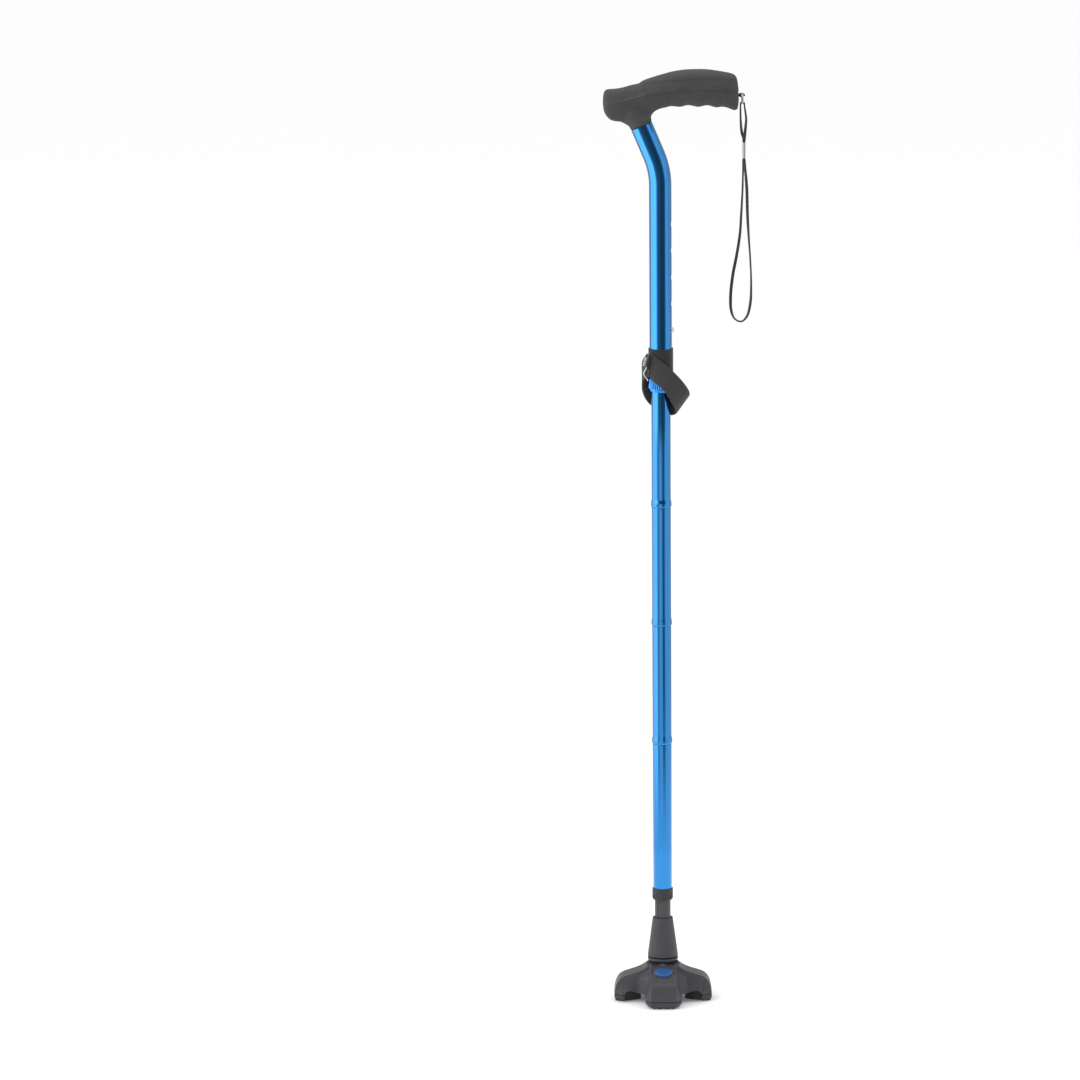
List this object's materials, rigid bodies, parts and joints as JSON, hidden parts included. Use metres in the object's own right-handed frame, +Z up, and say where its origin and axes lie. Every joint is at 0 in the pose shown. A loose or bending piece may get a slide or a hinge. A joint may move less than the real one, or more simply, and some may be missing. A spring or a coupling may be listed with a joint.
{
  "type": "quad walking cane",
  "caption": "Folding walking cane with an offset soft grip, wrist strap, push-button height adjustment, blue tubes in sprung sections, storage strap and a flexible four-foot base.",
  "frame": {"origin": "on the floor, in the middle of the object's box without the wrist strap", "axes": "+Z up along the shaft, +X towards the long end of the handle, -Y is the front of the base with the badge"},
  "size_m": [0.1467, 0.0978, 0.9399],
  "materials": {
    "blue_tube": "bright blue anodised, satin-gloss",
    "grip_rubber": "matte soft over-mould",
    "foot_plastic": "moulded, fine matte",
    "pad_rubber": "matte rubber",
    "black_plastic": "moulded satin",
    "steel": "bright",
    "aluminium": "satin",
    "webbing": "ribbed woven elastic",
    "cord_braid": "flat braid",
    "badge": "domed gloss"
  },
  "bodies": {
    "base": {"base_shell": "foot_plastic", "flex_bush": "pad_rubber", "ball_retainer": "black_plastic", "badge": "badge", "foot_pad_front": "pad_rubber", "foot_pad_back": "pad_rubber", "foot_pad_left": "pad_rubber", "foot_pad_right": "pad_rubber"},
    "neck_ring": {"neck_ring": "pad_rubber"},
    "shaft_d": {"socket_cone": "foot_plastic", "pivot_ball_pin": "steel", "pivot_nut": "steel", "stem_tube": "black_plastic", "section_d_tube": "blue_tube", "ferrule_cd": "aluminium", "cord_anchor_lower": "black_plastic", "shock_cord": "cord_braid"},
    "stem_collar": {"stem_collar": "black_plastic"},
    "shaft_c": {"section_c_tube": "blue_tube", "ferrule_bc": "aluminium"},
    "shaft_b": {"section_b_tube": "blue_tube", "ferrule_ab": "aluminium"},
    "shaft_a": {"section_a_tube": "blue_tube", "section_a_cap": "black_plastic", "cord_anchor_upper": "black_plastic"},
    "button": {"snap_button": "steel", "button_spring": "steel"},
    "upper": {"upper_tube": "blue_tube", "lock_collet": "black_plastic", "handle_core": "black_plastic", "grip": "grip_rubber", "strap_eye": "black_plastic", "strap_sleeve": "webbing", "strap_tab": "webbing", "strap_buckle": "steel", "strap_loop": "webbing"},
    "lock_nut": {"lock_nut": "blue_tube"},
    "ring": {"split_ring": "steel"},
    "wrist_strap": {"wrist_cord_ring_loop": "cord_braid", "cord_crimp": "aluminium", "wrist_cord_hand_loop": "cord_braid"}
  },
  "joints": [
    {"name": "base_flex_side", "type": "hinge", "parent": "base", "child": "neck_ring", "pos_m": [-0.01405, 0, 0.026], "axis": [0, 1, 0], "range_deg": [-4, 4], "stiffness_Nm_per_rad": 30},
    {"name": "base_flex_front", "type": "hinge", "parent": "neck_ring", "child": "shaft_d", "pos_m": [-0.01405, 0, 0.026], "axis": [1, 0, 0], "range_deg": [-4, 4], "stiffness_Nm_per_rad": 30},
    {"name": "stem_collar_turn", "type": "hinge", "parent": "shaft_d", "child": "stem_collar", "pos_m": [-0.01405, 0, 0.108], "axis": [0, 0, 1], "range_deg": [0, 180]},
    {"name": "section_c_pull", "type": "slide", "parent": "shaft_d", "child": "shaft_c", "axis": [0, 0, 1], "range_m": [0, 0.055], "stiffness_N_per_m": 150, "springref_m": -0.12, "deforming": ["shock_cord"]},
    {"name": "section_b_pull", "type": "slide", "parent": "shaft_c", "child": "shaft_b", "axis": [0, 0, 1], "range_m": [0, 0.055], "stiffness_N_per_m": 150, "springref_m": -0.12},
    {"name": "section_a_pull", "type": "slide", "parent": "shaft_b", "child": "shaft_a", "axis": [0, 0, 1], "range_m": [0, 0.055], "stiffness_N_per_m": 150, "springref_m": -0.12},
    {"name": "height_adjust", "type": "slide", "parent": "shaft_a", "child": "upper", "axis": [0, 0, 1], "range_m": [-0.106, 0]},
    {"name": "lock_nut_turn", "type": "hinge", "parent": "upper", "child": "lock_nut", "pos_m": [-0.01405, 0, 0.628], "axis": [0, 0, 1], "range_deg": [0, 180]},
    {"name": "button_press", "type": "slide", "parent": "shaft_a", "child": "button", "axis": [-1, 0, 0], "range_m": [0, 0.004], "stiffness_N_per_m": 1000, "springref_m": -0.002, "deforming": ["button_spring", "snap_button"]},
    {"name": "ring_swing", "type": "hinge", "parent": "upper", "child": "ring", "pos_m": [0.06715, 0, 0.914], "axis": [0, 1, 0], "range_deg": [-90, 0]},
    {"name": "wrist_strap_swing", "type": "hinge", "parent": "ring", "child": "wrist_strap", "pos_m": [0.06715, 0, 0.9096], "axis": [1, 0, 0], "range_deg": [-75, 75]}
  ]
}
